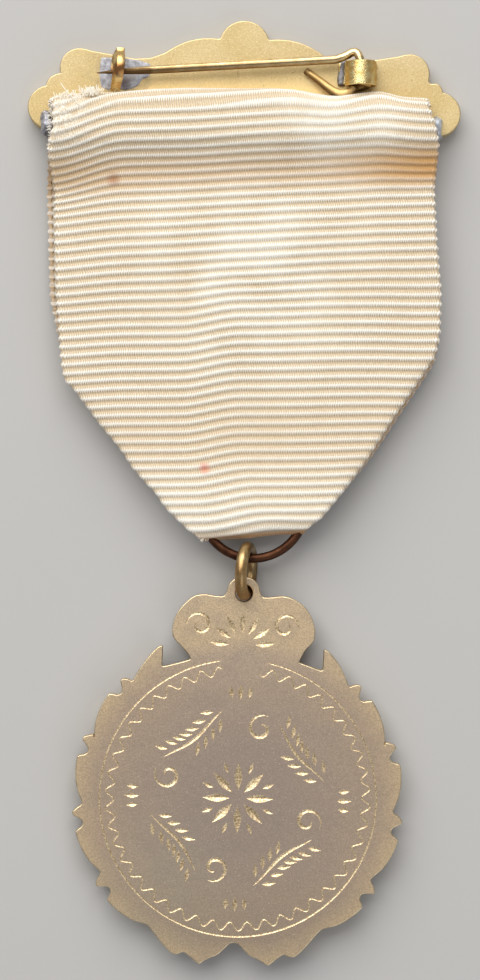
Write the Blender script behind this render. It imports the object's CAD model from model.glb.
# %% [markdown]
# # A breast jewel seen from its back
# This lesson dresses a small fraternal jewel: a gilt brooch bar with its pin, a doubled cream
# ribbon, two wire rings and a struck pendant. The solids come from a CAD part, which stays as a
# fixed frame. Each visible piece is modelled here around that frame, in millimetres, and is
# scaled to Blender's metres when it is done.

# %% Load the frame
import math
import random

import bmesh
import bpy
from bmesh.types import BMEdge, BMFace, BMVert
from mathutils import Matrix, Vector, kdtree, noise


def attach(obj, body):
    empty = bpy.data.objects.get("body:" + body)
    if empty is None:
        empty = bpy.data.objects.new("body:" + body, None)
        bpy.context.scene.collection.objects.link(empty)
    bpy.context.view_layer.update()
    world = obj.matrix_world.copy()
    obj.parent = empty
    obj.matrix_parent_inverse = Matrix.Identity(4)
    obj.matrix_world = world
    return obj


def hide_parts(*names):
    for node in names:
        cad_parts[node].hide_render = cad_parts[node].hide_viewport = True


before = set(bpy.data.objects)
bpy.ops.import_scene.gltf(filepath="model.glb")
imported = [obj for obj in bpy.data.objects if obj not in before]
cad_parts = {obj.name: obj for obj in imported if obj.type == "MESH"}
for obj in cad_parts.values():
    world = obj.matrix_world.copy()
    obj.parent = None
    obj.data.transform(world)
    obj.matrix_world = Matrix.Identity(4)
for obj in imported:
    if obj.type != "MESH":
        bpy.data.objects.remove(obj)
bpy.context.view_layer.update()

MM = 0.001
scene = bpy.context.scene

# %% [markdown]
# ## The view
# The jewel was photographed from straight above, from about as far as a hand holds a camera. A
# long lens at 280 mm gives the same slight perspective: tall parts lean outwards a little. The
# picture's 980 rows cover 96.1 mm at the height of the jewel's middle.

# %% Camera
CAMERA_HEIGHT = 280.0
MIDDLE_HEIGHT = 2.5
VIEW_LENGTH = 96.08
VIEW_MIDDLE = (-0.34, 0.25)
lens_camera = bpy.data.cameras.new("view_from_above")
lens_camera.sensor_width = 36.0
lens_camera.lens = lens_camera.sensor_width * (CAMERA_HEIGHT - MIDDLE_HEIGHT) / VIEW_LENGTH
lens_camera.clip_start = 0.01
camera = bpy.data.objects.new("view_from_above", lens_camera)
camera.location = Vector((*VIEW_MIDDLE, CAMERA_HEIGHT)) * MM
scene.collection.objects.link(camera)
scene.camera = camera
print("lens", round(lens_camera.lens, 1), "mm")

# %% [markdown]
# ## The light
# The photograph has soft daylight from the top of the picture, a little from the left. One large
# area light stands for that window and a weak one fills in from below. An even pale world gives
# metal something to reflect. The plain view transform keeps colours as the materials say them.

# %% Lights and world
scene.view_settings.view_transform = "Standard"


def soft_light(name, at, size, watts, colour):
    """A square area light that looks at the middle of the jewel."""
    lamp = bpy.data.lights.new(name, "AREA")
    lamp.size = size
    lamp.energy = watts
    lamp.color = colour
    holder = bpy.data.objects.new(name, lamp)
    holder.location = at
    holder.rotation_euler = (-Vector(at)).to_track_quat("-Z", "Y").to_euler()
    scene.collection.objects.link(holder)


soft_light("window", (-0.10, 0.40, 0.40), 0.66, 4.75, (1.0, 0.985, 0.96))
soft_light("fill", (0.20, -0.38, 0.40), 0.40, 0.5, (0.93, 0.96, 1.0))
world = bpy.data.worlds.new("even_pale_room")
world.use_nodes = True
room = world.node_tree.nodes["Background"]
room.inputs["Color"].default_value = (0.96, 0.97, 1.0, 1.0)
room.inputs["Strength"].default_value = 0.36
scene.world = world

# %% [markdown]
# ## Shader maths that reads like Python
# A material is a small program of nodes. The first class holds one output socket. Plus, minus,
# times and so on add the Math node that does the sum, so a mask can be written as an expression.
# The finish has one method that adds any other node: it sets the node's settings first and then
# its sockets. A finish gets its colour in layers: a ground of two colours, and coats over it.

# %% Socket and finish classes
class Wire:
    """One output socket of a finish. Sums on it add Math nodes."""

    def __init__(self, finish, socket):
        self.finish, self.socket = finish, socket

    def maths(self, operation, *values, clamp=False):
        settings = {"operation": operation, "use_clamp": clamp}
        return self.finish.node("ShaderNodeMath", settings, dict(enumerate(values)))

    def __add__(self, other):
        return self.maths("ADD", self, other)

    def __mul__(self, other):
        return self.maths("MULTIPLY", self, other)

    def __sub__(self, other):
        return self.maths("SUBTRACT", self, other)

    def __rsub__(self, other):
        return self.maths("SUBTRACT", other, self)

    def __pow__(self, other):
        return self.maths("POWER", self, other)

    __radd__, __rmul__ = __add__, __mul__

    def sine(self):
        return self.maths("SINE", self)

    def clamped(self):
        """The same value, held between 0 and 1."""
        return self.maths("ADD", self, 0.0, clamp=True)

    def ramp(self, low, high):
        """0 at or below low, 1 at or above high, and even between them."""
        return ((self - low) * (1 / (high - low))).clamped()


class Finish:
    """A material and its node tree, with the Principled shader that every finish here uses."""

    def __init__(self, name, **constants):
        self.material = bpy.data.materials.new(name)
        self.material.use_nodes = True
        self.tree = self.material.node_tree
        self.shader = self.tree.nodes["Principled BSDF"]
        for socket, value in constants.items():
            self.shader.inputs[socket.replace("_", " ")].default_value = value

    def node(self, kind, settings, sockets, output=0):
        made = self.tree.nodes.new(kind)
        for name, value in settings.items():
            setattr(made, name, value)
        for name, value in sockets.items():
            if isinstance(value, Wire):
                self.tree.links.new(value.socket, made.inputs[name])
            else:
                made.inputs[name].default_value = value
        return Wire(self, made.outputs[output])

    def feed(self, socket, wire):
        self.tree.links.new(wire.socket, self.shader.inputs[socket])

    def place(self):
        """Object coordinates in metres."""
        return self.node("ShaderNodeTexCoord", {}, {}, "Object")

    def in_mm(self, place=None):
        """A place in millimetres: across, along and height of the jewel, or U and V of a map."""
        parts = self.node("ShaderNodeSeparateXYZ", {}, {0: place or self.place()})
        return [Wire(self, out) * (1 / MM) for out in parts.socket.node.outputs]

    def far_from(self, x, y):
        """How far each point lies from x, y in the plan, in millimetres."""
        across, along, _ = self.in_mm()
        return ((across - x) ** 2 + (along - y) ** 2) ** 0.5

    def spot(self, x, y, reach):
        """A round mask: 1 at x, y in the plan, and 0 at reach millimetres from it."""
        return 1 - self.far_from(x, y).ramp(0.15 * reach, reach)

    def grain(self, size, detail=2.0, at=None):
        """Noise from 0 to 1 whose features are about size millimetres."""
        sockets = {"Vector": at or self.place(), "Scale": 1 / (size * MM), "Detail": detail}
        return self.node("ShaderNodeTexNoise", {}, sockets, 0)

    def blend(self, amount, first, second):
        """Colour first where amount is 0 and second where it is 1."""
        sides = [c if isinstance(c, Wire) else (*c, 1.0) for c in (first, second)]
        sockets = {0: amount, 6: sides[0], 7: sides[1]}
        return self.node("ShaderNodeMix", {"data_type": "RGBA"}, sockets, 2)

    def ground(self, amount, first, second):
        """Makes a blend the base colour."""
        self.feed("Base Color", self.blend(amount, first, second))

    def coat(self, amount, tint):
        """Lays one more colour over the base colour so far. Where amount is 1 it covers it."""
        under = Wire(self, self.shader.inputs["Base Color"].links[0].from_socket)
        self.ground(amount, under, tint)

    def bump(self, height, depth):
        """Feeds the shader's normal with a height field of depth millimetres."""
        sockets = {"Height": height, "Distance": depth * MM, "Strength": 1.0}
        self.feed("Normal", self.node("ShaderNodeBump", {}, sockets))


print("finish classes ready")

# %% [markdown]
# ## Helpers for metal work
# Flat struck or cast pieces share one idea. Their outline is the zero line of a *field*, a
# function that gives the distance to the edge: below zero in the metal, above it outside. Fields
# of circles and polygons are easy to join, and a line drawn a little inside the edge is just
# another level of the same field. So one traced line can be extruded round a rounded rim.

# %% Fields
def disc(x0, y0, r):
    return lambda x, y: math.hypot(x - x0, y - y0) - r


def off_segment(x, y, start, end):
    """How far a point lies from a short straight line."""
    (ax, ay), (bx, by) = start, end
    ex, ey, wx, wy = bx - ax, by - ay, x - ax, y - ay
    share = max(0.0, min(1.0, (wx * ex + wy * ey) / (ex * ex + ey * ey)))
    return math.hypot(wx - ex * share, wy - ey * share)


def polygon(corners):
    """The signed distance to a closed run of corners."""
    def field(x, y):
        nearest, inside = 1e9, False
        for (ax, ay), (bx, by) in zip(corners, corners[1:] + corners[:1]):
            nearest = min(nearest, off_segment(x, y, (ax, ay), (bx, by)))
            if (ay > y) != (by > y) and x < ax + (bx - ax) * (y - ay) / (by - ay):
                inside = not inside
        return -nearest if inside else nearest
    return field


def rounded(field, r):
    """The same shape grown by r, which rounds its corners."""
    return lambda x, y: field(x, y) - r


def joined(fields, melt):
    """The union of fields, with its inner corners filled in softly over melt mm."""
    def field(x, y):
        best = fields[0](x, y)
        for other in fields[1:]:
            here = other(x, y)
            near = max(melt - abs(best - here), 0.0) / melt
            best = min(best, here) - near * near * melt / 4
        return best
    return field


def gradient(field, x, y, step):
    """How steeply a field rises across and along at a point."""
    return ((field(x + step, y) - field(x - step, y)) / (2 * step),
            (field(x, y + step) - field(x, y - step)) / (2 * step))


def settle(field, x, y, level=0.0):
    """Moves a point up or down the field's slope until the field has the given level there."""
    for _ in range(12):
        miss = field(x, y) - level
        if abs(miss) < 2e-4:
            break
        gx, gy = gradient(field, x, y, 1e-4)
        steep = max(gx * gx + gy * gy, 0.2)
        x, y = x - miss * gx / steep, y - miss * gy / steep
    return x, y


def trace(field, start, stride):
    """Walks once round the field's zero line, with the metal on the left. At a kink, where the
    slope says nothing useful, the walk keeps its last heading."""
    x, y = settle(field, *start)
    line, ahead = [(x, y)], None
    while len(line) < 2000:
        gx, gy = gradient(field, x, y, 1e-3)
        size = max(math.hypot(gx, gy), 1e-9)
        way = (-gy / size, gx / size)
        if ahead and way[0] * ahead[0] + way[1] * ahead[1] < -0.3:
            way = ahead
        nx, ny = settle(field, x + way[0] * stride, y + way[1] * stride)
        gone = math.hypot(nx - x, ny - y)
        if gone > 0.2 * stride:
            ahead = ((nx - x) / gone, (ny - y) / gone)
        x, y = nx, ny
        if len(line) > 8 and math.hypot(x - line[0][0], y - line[0][1]) < 0.8 * stride:
            return line
        line.append((x, y))
    raise ValueError("the outline did not close")


print("a coin's outline has", len(trace(disc(0, 0, 1), (1, 0), 0.1)), "points")

# %% [markdown]
# ## From outline to plate
# The plate starts as one closed ring of edges. `extrude_edge_only` grows it through a list of
# layers, each an inset from the edge and a height, and each new ring settles on its own level of
# the field. `triangle_fill` closes the flat face and the back, round any hole.

# %% Plate builder
def ring_of(bm, corners):
    """Joins vertices with edges into a closed ring."""
    return [bm.edges.new((a, b)) for a, b in zip(corners, corners[1:] + corners[:1])]


def only(kind, parts):
    """The vertices, the edges or the faces among the parts that an operator returns."""
    return [part for part in parts if isinstance(part, kind)]


def grow(bm, edges):
    """Extrudes rings of edges once. Returns the vertices and the edges of the new rings."""
    grown = bmesh.ops.extrude_edge_only(bm, edges=edges)["geom"]
    fresh = only(BMVert, grown)
    ends = set(fresh)
    return fresh, [edge for edge in only(BMEdge, grown) if set(edge.verts) <= ends]


def plate(bm, field, lines, layers, rims=()):
    """Extrudes traced outlines through (inset, height) layers. Returns the two flat caps' faces.
    The last cap is left open inside the given rims."""
    mark = bm.verts.layers.int.get("mark") or bm.verts.layers.int.new("mark")
    points, edges = [], []
    for line in lines:
        ring = []
        for x, y in line:
            ring.append(bm.verts.new((x, y, layers[0][1])))
            ring[-1][mark] = len(points)
            points.append((x, y))
        edges += ring_of(bm, ring)
    settled = {0: points}
    caps = []
    for turn, (inset, height) in enumerate(layers):
        if inset not in settled:
            settled[inset] = [settle(field, x, y, -inset) for x, y in points]
        if turn:
            edges = grow(bm, edges)[1]
        for corner in {v for e in edges for v in e.verts}:
            corner.co = (*settled[inset][corner[mark]], height)
        if turn in (0, len(layers) - 1):
            border = edges + list(rims if turn else ())
            filled = bmesh.ops.triangle_fill(bm, use_beauty=True, edges=border)["geom"]
            caps.append(only(BMFace, filled))
    return caps


def lie(bm, at, turn=0.0):
    """Turns a piece about the vertical, in degrees, and moves it."""
    spin = Matrix.Rotation(math.radians(turn), 3, "Z")
    bmesh.ops.rotate(bm, verts=bm.verts, cent=(0, 0, 0), matrix=spin)
    bmesh.ops.translate(bm, verts=bm.verts, vec=at)


def finish_piece(bm, name, finishes, body="root", stands_for=(), flat=(), sharp=38):
    """Turns a bmesh in millimetres into an object that rides on a body of the frame."""
    bmesh.ops.recalc_face_normals(bm, faces=bm.faces)
    flat = set(flat)
    for face in bm.faces:
        face.smooth = face not in flat
    for edge in bm.edges:
        edge.smooth = edge.calc_face_angle(0.0) < math.radians(sharp)
    bmesh.ops.scale(bm, verts=bm.verts, vec=(MM, MM, MM))
    mesh = bpy.data.meshes.new(name)
    bm.to_mesh(mesh)
    bm.free()
    for finish in finishes:
        mesh.materials.append(finish.material)
    thing = bpy.data.objects.new(name, mesh)
    scene.collection.objects.link(thing)
    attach(thing, body)
    if stands_for:
        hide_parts(*stands_for)
    print(name, "has", len(mesh.polygons), "faces")
    return thing


# %% [markdown]
# ## Wire and strip
# Needle, rings, hook and threads are all one thing: a section that is drawn along a path. The
# section starts as a circle or a strip with rubbed corners. At each next point its edges are
# extruded, and the new ring is turned by as much as the path turned, so it never twists.

# %% Drawing a section along a path
ROUND = [(math.cos(a), math.sin(a)) for a in (i * math.tau / 14 for i in range(14))]


def draw(bm, path, sizes, section=ROUND, closed=False):
    """Sweeps section along path. sizes gives half the width and half the height at each point."""
    path = [Vector(p) for p in path]
    last = len(path) - 1
    up = Vector((0, 0, 1))
    side, way, edges, first = None, None, [], []
    for i, point in enumerate(path):
        back = path[i - 1] if i or closed else point
        ahead = path[(i + 1) % len(path)] if i < last or closed else point
        new_way = (ahead - back).normalized()
        if side is None:
            side = new_way.cross(up).normalized()
        else:
            side = way.rotation_difference(new_way) @ side
        way = new_way
        over, level_side = side.cross(way), way.cross(up)
        half_w, half_h = sizes[min(i, len(sizes) - 1)]
        ring = []
        for a, b in section:
            reach = side * a + over * b
            if level_side.length > 0.2 and half_w != half_h:
                across = level_side.normalized()
                above = across.cross(way)
                reach = across * reach.dot(across) * half_w + above * reach.dot(above) * half_h
            else:
                reach = reach * half_w
            ring.append(point + reach)
        if edges:
            corners, edges = grow(bm, edges)
            for corner, p in zip(corners, ring):
                corner.co = p
        else:
            first = edges = ring_of(bm, [bm.verts.new(p) for p in ring])
    if closed:
        bmesh.ops.bridge_loops(bm, edges=first + edges)
    else:
        bmesh.ops.contextual_create(bm, geom=first)
        bmesh.ops.contextual_create(bm, geom=edges)


def smooth_path(points, share=6):
    """A path through points with share short steps between each two, rounded as a spline."""
    points = [Vector(p) for p in points]
    out = []
    for i in range(len(points) - 1):
        before, after = points[max(i - 1, 0)], points[min(i + 2, len(points) - 1)]
        a, b = points[i], points[i + 1]
        for k in range(share):
            t = k / share
            out.append(0.5 * (2 * a + (b - before) * t
                              + (2 * before - 5 * a + 4 * b - after) * t * t
                              + (3 * a - before - 3 * b + after) * t ** 3))
    return out + [points[-1]]


print("a bend of 4 points becomes", len(smooth_path([(0, 0, 0), (1, 0, 0), (1, 1, 0), (2, 1, 0)])))

# %% [markdown]
# ## Satin gilding
# The bar is brass with a thin, pale gold coat. Gilding over a sand-blasted blank is satin: it
# shines, but through a very fine grain. The strip between the needle and the ribbon is wiped
# cleaner and shows a brighter yellow, and the soldering has left grey and brown clouds near
# the hook.

# %% Gilt finish
gilt = Finish("satin_gilt", Metallic=1.0)
across, along, _ = gilt.in_mm()
by_ribbon = 1 - (along + gilt.grain(2.0) * 0.9).ramp(39.8, 42.6)
below_needle = across.ramp(-12.5, -9.0) * (1 - across.ramp(8.5, 11.5))
clean_strip = by_ribbon * (below_needle * 0.78 + 0.2)
heat = (gilt.spot(-12.0, 41.2, 4.6) * gilt.grain(0.9, 3.0).ramp(0.42, 0.62)).clamped()
fine = gilt.grain(0.11, 2.0)
sparkle = gilt.grain(0.2, 1.0).ramp(0.56, 0.70)
specks = gilt.grain(0.45, 1.0).ramp(0.72, 0.76)
gilt.ground(gilt.grain(3.2, 3.0).ramp(0.35, 0.7), (0.58, 0.455, 0.23), (0.66, 0.535, 0.31))
gilt.coat(clean_strip, (1.0, 0.79, 0.40))
gilt.coat(heat * 0.6, (0.42, 0.36, 0.28))
gilt.coat(fine.ramp(0.40, 0.66) * (0.50 - clean_strip * 0.38), (0.42, 0.31, 0.14))
gilt.coat(sparkle * 0.28, (0.90, 0.75, 0.45))
gilt.coat(specks * 0.5, (0.40, 0.28, 0.12))
gilt.feed("Roughness", 0.50 + gilt.grain(0.22) * 0.12 + heat * 0.1 + by_ribbon * 0.10)
gilt.bump(fine, 0.012)

bright_gilt = Finish("rubbed_gilt_edge", Metallic=1.0)
bright_gilt.ground(bright_gilt.grain(0.5), (0.72, 0.59, 0.34), (0.58, 0.45, 0.23))
bright_gilt.feed("Roughness", 0.34 + bright_gilt.grain(0.2) * 0.2)

solder = Finish("soft_solder", Metallic=1.0)
solder.ground(solder.grain(0.55, 3.0).ramp(0.36, 0.66), (0.33, 0.325, 0.35), (0.58, 0.585, 0.62))
solder.coat(solder.grain(0.16, 2.0).ramp(0.45, 0.7) * 0.45, (0.14, 0.125, 0.12))
for x, y, reach, amount, tint in ((-10.7, 40.9, 1.3, 0.6, (0.66, 0.69, 0.77)),
                                  (-11.75, 40.25, 0.8, 0.7, (0.15, 0.12, 0.15)),
                                  (19.2, 36.1, 1.7, 0.85, (0.72, 0.78, 0.84))):
    solder.coat(solder.spot(x, y, reach) * amount, tint)
solder.coat(solder.grain(0.9).ramp(0.56, 0.7) * 0.3, (0.36, 0.27, 0.16))
solder.feed("Roughness", 0.54 + solder.grain(0.3) * 0.2)
solder.bump(solder.grain(0.4, 2.0), 0.012)
print("metals:", gilt.material.name, bright_gilt.material.name, solder.material.name)

# %% [markdown]
# ## The brooch bar
# The bar is a stamped plate with a centre lobe, two long shoulders and a pair of round lobes at
# each end. Its hidden face has a raised rim. Half of the outline is a union of circles and one
# polygon, in the bar's own frame. It is mirrored, the left half a hair higher and with a fuller
# small lobe, and is cut off straight below, behind the ribbon. The layers run from the recessed
# face over the rim and round the edge to the back, where three short insets round the corner so
# that it catches a thin line of light.

# %% Bar plate
BACK = 2.0
BAR_AT, BAR_TURN = (0.015, 38.45, 0.0), -0.8
BAR_LOW = -3.15
LOBE_MELT = 0.16
bar_half = joined([
    disc(0, 5.39, 2.51), disc(3.4, -0.88, 7.0), disc(16.3, 2.9, 1.95), disc(18.75, 1.2, 0.8),
    disc(19.2, -1.0, 2.15),
    polygon([(-1, BAR_LOW - 1), (19.3, BAR_LOW - 1), (19.3, BAR_LOW), (20.5, -2.3), (20.5, 0.2),
             (19.2, 0.95), (18.15, 2.2), (18.0, 2.9), (15.7, 4.7),
             (10.9, 3.9), (9.3, 4.02), (7.9, 4.55), (6.6, 5.2), (-1, 5.2)]),
], LOBE_MELT)
small_lobe = joined([disc(-18.5, 1.5, 0.8), disc(-18.1, 1.72, 0.78)], LOBE_MELT)


def bar_field(x, y):
    """Both halves of the bar. The left one sits a hair higher and has a fuller small lobe."""
    left = max(0.0, min(1.0, -x / 12)) * 0.15
    return max(min(bar_half(abs(x) + left, y - left), small_lobe(x, y)), BAR_LOW + left - y)


bm = bmesh.new()
face_cap, back_cap = plate(bm, bar_field, [trace(bar_field, (0, 8), 0.16)], [
    (0.95, 0.80), (0.86, 0.76), (0.78, 0.12), (0.68, 0.0), (0.14, 0.0), (0.04, 0.05), (0, 0.15),
    (0, BACK - 0.12), (0.02, BACK - 0.05), (0.06, BACK - 0.012), (0.11, BACK)])
settled_faces = set(back_cap)
for face in bm.faces:
    if face.calc_center_median().z > BACK - 0.12 and face not in settled_faces:
        face.material_index = 1
lie(bm, BAR_AT, BAR_TURN)
finish_piece(bm, "bar_plate", [gilt, bright_gilt], stands_for=["brooch_bar"],
             flat=face_cap + back_cap)

# %% [markdown]
# ## Solder
# Soft solder runs out into thin grey puddles with a rounded edge. Each is a small plate of its
# own: a polygon that is grown until its corners are round, and layers that climb to a low dome.
# The lumps that hold the ribbon's rod are spheres, pushed about by noise so that they don't look
# turned.

# %% Solder puddles and lumps
PUDDLE_ROUND = 0.22


def puddle(name, corners, height):
    field = rounded(polygon(corners), PUDDLE_ROUND)
    edge = trace(field, (corners[0][0] + 1, corners[0][1]), 0.12)
    bm = bmesh.new()
    plate(bm, field, [edge], [(0, BACK - 0.05), (0.02, BACK + 0.4 * height),
                              (0.10, BACK + 0.8 * height), (0.2, BACK + height)])
    finish_piece(bm, name, [solder], sharp=60)


def lump(bm, at, size, rough=0.12, seed=0.0):
    """A rounded lump of metal: a sphere whose skin noise has moved in and out."""
    made = bmesh.ops.create_icosphere(bm, subdivisions=4, radius=1.0)["verts"]
    for corner in made:
        push = 1 + rough * noise.noise(corner.co * 1.7 + Vector((seed, 0, 0)))
        corner.co = Vector(at) + Vector([c * s * push for c, s in zip(corner.co, size)])


puddle("solder_under_hook", [
    (-9.25, 41.35), (-9.35, 41.95), (-10.2, 42.22), (-11.4, 42.4), (-12.5, 42.4), (-13.1, 42.5),
    (-13.8, 42.52), (-13.95, 41.2), (-13.8, 40.0), (-13.3, 39.75), (-12.6, 39.9), (-11.6, 39.72),
    (-10.9, 39.9), (-10.4, 40.2), (-10.1, 40.75), (-9.5, 40.95)], 0.05)
puddle("solder_by_barrel", [
    (9.85, 41.0), (9.82, 41.6), (9.95, 42.2), (9.7, 42.2), (9.55, 41.5), (9.4, 40.6),
    (9.45, 40.1), (9.7, 40.1)], 0.5)
for side, name, x, y, seed in ((-1, "solder_post_left", -19.28, 36.2, 0.0),
                               (1, "solder_post_right", 18.88, 35.65, 3.0)):
    bm = bmesh.new()
    lump(bm, (x, y, BACK + 0.55), (0.56, 1.15, 0.95), 0.16, seed)
    lump(bm, (x + 0.12 * side, y + 0.5, BACK + 0.35), (0.5, 0.75, 0.75), 0.25, seed + 2)
    lump(bm, (x + 0.05 * side, y - 0.7, BACK + 0.7), (0.5, 0.62, 0.95), 0.25, seed + 5)
    finish_piece(bm, name, [solder], sharp=60)

# %% Ribbon rod
ROD_Y, ROD_Z = 35.95, 3.6
ROD_R, ROD_END_R = 0.5, 0.44
bm = bmesh.new()
draw(bm, [(x, ROD_Y, ROD_Z) for x in (-19.5, -19.35, 0.0, 18.95, 19.1)],
     [(r, r) for r in (ROD_END_R, ROD_R, ROD_R, ROD_R, ROD_END_R)])
finish_piece(bm, "ribbon_rod", [solder])

# %% [markdown]
# ## Worn brass
# The hook, the barrel and the needle are drawn brass that handling keeps bright. Hollows stay
# brown. Fine marks run every way, and on the rolled barrel the flats of the closing tool show.

# %% Brass finishes
TARNISH = (0.13, 0.075, 0.032)


def worn_brass(name, light, dark, roughness, clouds_mm, marks=0.012):
    """Brass in two tones with darker specks and fine marks, which are marks millimetres deep."""
    made = Finish(name, Metallic=1.0)
    made.ground(made.grain(clouds_mm, 3.0).ramp(0.38, 0.66), light, dark)
    made.coat(made.grain(0.14).ramp(0.62, 0.75) * 0.5, [c * 0.5 for c in dark])
    made.feed("Roughness", roughness + made.grain(0.3, 3.0) * 0.2)
    made.bump(made.grain(0.12, 3.0), marks)
    return made


wire_brass = worn_brass("needle_brass", (0.88, 0.68, 0.37), (0.62, 0.43, 0.19), 0.20, 1.2)
across, along, _ = wire_brass.in_mm()
under_needle = along - across * 0.0558 - 41.80 + wire_brass.grain(0.5) * 0.16
browned = (1 - under_needle.ramp(0.18, 0.30)) * under_needle.ramp(-1.0, -0.7)
browned = browned * (0.85 - across.ramp(-8, 9) * 0.35)
near_point = 1 - across.ramp(-10.0, -8.7)
in_barrel = (1 - along.ramp(39.45, 39.75)) * across.ramp(10.5, 10.9)
tail_part = (1 - along.ramp(41.45, 41.75)) * across.ramp(5.0, 5.4)
tail_low = 1 - (along + across * 0.745 - 45.85).ramp(-0.30, 0.06)
wire_brass.coat(tail_part * 0.7, (0.60, 0.40, 0.15))
wire_brass.coat((browned + near_point * 0.55 + in_barrel * 0.7
                 + tail_part * tail_low * 0.85).clamped(), TARNISH)
wire_brass.feed("Roughness", 0.20 + wire_brass.grain(0.3, 3.0) * 0.2
                + near_point * 0.25 + tail_part * 0.2)
hook_brass = worn_brass("hook_brass", (0.68, 0.52, 0.25), (0.62, 0.38, 0.13), 0.18, 1.6, 0.005)
across, along, _ = hook_brass.in_mm()
hook_bow = along.ramp(40.35, 40.75) * (1 - along.ramp(41.55, 42.0))
hook_side = 1 - (across + along * 0.02 + 12.95).ramp(0.02, 0.16)
hook_brass.coat((hook_bow * (1 - hook_side) * 0.85 + hook_side * 0.25).clamped(),
                (0.30, 0.125, 0.045))
barrel_brass = worn_brass("barrel_brass", (0.90, 0.74, 0.36), (0.70, 0.46, 0.15), 0.18, 0.7, 0.04)
print("brasses:", wire_brass.material.name, hook_brass.material.name, barrel_brass.material.name)

# %% [markdown]
# ## The hook catch
# The hook is one strip of brass, soldered flat on the bar and bent over towards the ribbon, so
# that its lip covers the needle. The strip's section is drawn along the bend, seen from the
# side, and narrows along the lip. Then the whole is leaned and turned as in the photograph.

# %% Hook
CATCH_X, CATCH_Y = -12.43, 41.2
STRIP_HALF, STRIP_THICK, LIP_FROM, LIP_NARROWS = 0.54, 0.26, 0.6, 0.11
hook_bend = [(41.4, 0.22), (42.2, 0.24), (42.75, 0.5), (43.0, 1.2), (42.85, 2.0), (42.35, 2.58),
             (41.6, 2.84), (40.85, 2.66), (40.3, 2.1), (39.9, 1.5), (39.5, 1.27), (39.2, 1.22)]
HOOK_STRIP = [(1, -0.7), (1, 0.7), (0.95, 0.92), (0.85, 1), (-0.85, 1), (-0.97, 0.92), (-1, 0.6),
              (-0.97, 0.35), (-0.42, -0.9), (-0.3, -1), (0.85, -1), (0.95, -0.92)]
bm = bmesh.new()
hook_path = smooth_path([(0.0, y - CATCH_Y, h) for y, h in hook_bend], 8)
hook_sizes = []
for i in range(len(hook_path)):
    along_lip = max(0.0, i / len(hook_path) - LIP_FROM) / (1 - LIP_FROM)
    hook_sizes.append((STRIP_HALF - LIP_NARROWS * along_lip, STRIP_THICK))
draw(bm, hook_path, hook_sizes, HOOK_STRIP)
lean = Matrix.Rotation(math.radians(9), 3, "Y")
bmesh.ops.rotate(bm, verts=bm.verts, cent=(0, 0, 0), matrix=lean)
lie(bm, (CATCH_X - 0.14, CATCH_Y, BACK), -5)
finish_piece(bm, "hook_catch", [hook_brass])

# %% [markdown]
# ## The hinge barrel
# A short tube of rolled sheet holds the pin's coil. Its wall is a small rounded rectangle that
# is spun once round the hinge's axis. A few low facets show where the pliers closed it.

# %% Barrel
HINGE_X, HINGE_Z = 11.46, 3.5
BARREL_LOW, BARREL_HIGH = 39.72, 42.12
BARREL_R, BORE_R, ROUNDING = 1.55, 1.2, 0.05
bm = bmesh.new()
wall = [(1.24, BARREL_LOW), (BARREL_R - ROUNDING, BARREL_LOW), (BARREL_R, BARREL_LOW + ROUNDING),
        (BARREL_R, BARREL_LOW + 0.8), (BARREL_R, BARREL_HIGH - 0.8),
        (BARREL_R, BARREL_HIGH - ROUNDING), (BARREL_R - ROUNDING, BARREL_HIGH),
        (1.24, BARREL_HIGH), (BORE_R, BARREL_HIGH - ROUNDING), (BORE_R, BARREL_LOW + ROUNDING)]
profile = [bm.verts.new((r, y, 0)) for r, y in wall]
bmesh.ops.spin(bm, geom=profile + ring_of(bm, profile), cent=(0, 0, 0), axis=(0, 1, 0),
               dvec=(0, 0, 0), angle=math.tau, steps=48, use_merge=True)
for corner in bm.verts:
    around = math.atan2(corner.co.z, corner.co.x)
    flats = 0.045 * max(0.0, math.cos(3 * around - 1.0 + 0.6 * corner.co.y)) ** 3
    if math.hypot(corner.co.x, corner.co.z) > 1.4:
        corner.co.x *= 1 - flats
        corner.co.z *= 1 - flats
bmesh.ops.translate(bm, verts=bm.verts, vec=(HINGE_X, 0, HINGE_Z))
finish_piece(bm, "hinge_barrel", [barrel_brass])

FOOT_SIZE = (3.75, 2.1, 0.42)
bm = bmesh.new()
bmesh.ops.create_cube(bm, size=1.0)
bmesh.ops.scale(bm, verts=bm.verts, vec=FOOT_SIZE)
bmesh.ops.translate(bm, verts=bm.verts, vec=(11.225, 41.07, BACK + FOOT_SIZE[2] / 2))
bmesh.ops.bevel(bm, geom=bm.edges, offset=0.08, offset_type="OFFSET", segments=2, profile=0.5,
                affect="EDGES", material=-1, clamp_overlap=True)
finish_piece(bm, "barrel_foot", [barrel_brass])

# %% [markdown]
# ## The pin
# One wire makes the whole pin: a ground point, a straight needle, a hump at the barrel, a coil
# of nearly three turns inside it, and a tail that comes out below and presses on the bar as the
# spring's stop. The sizes list gives the wire its taper and flattens the tail, where the maker
# hammered it.

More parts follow.
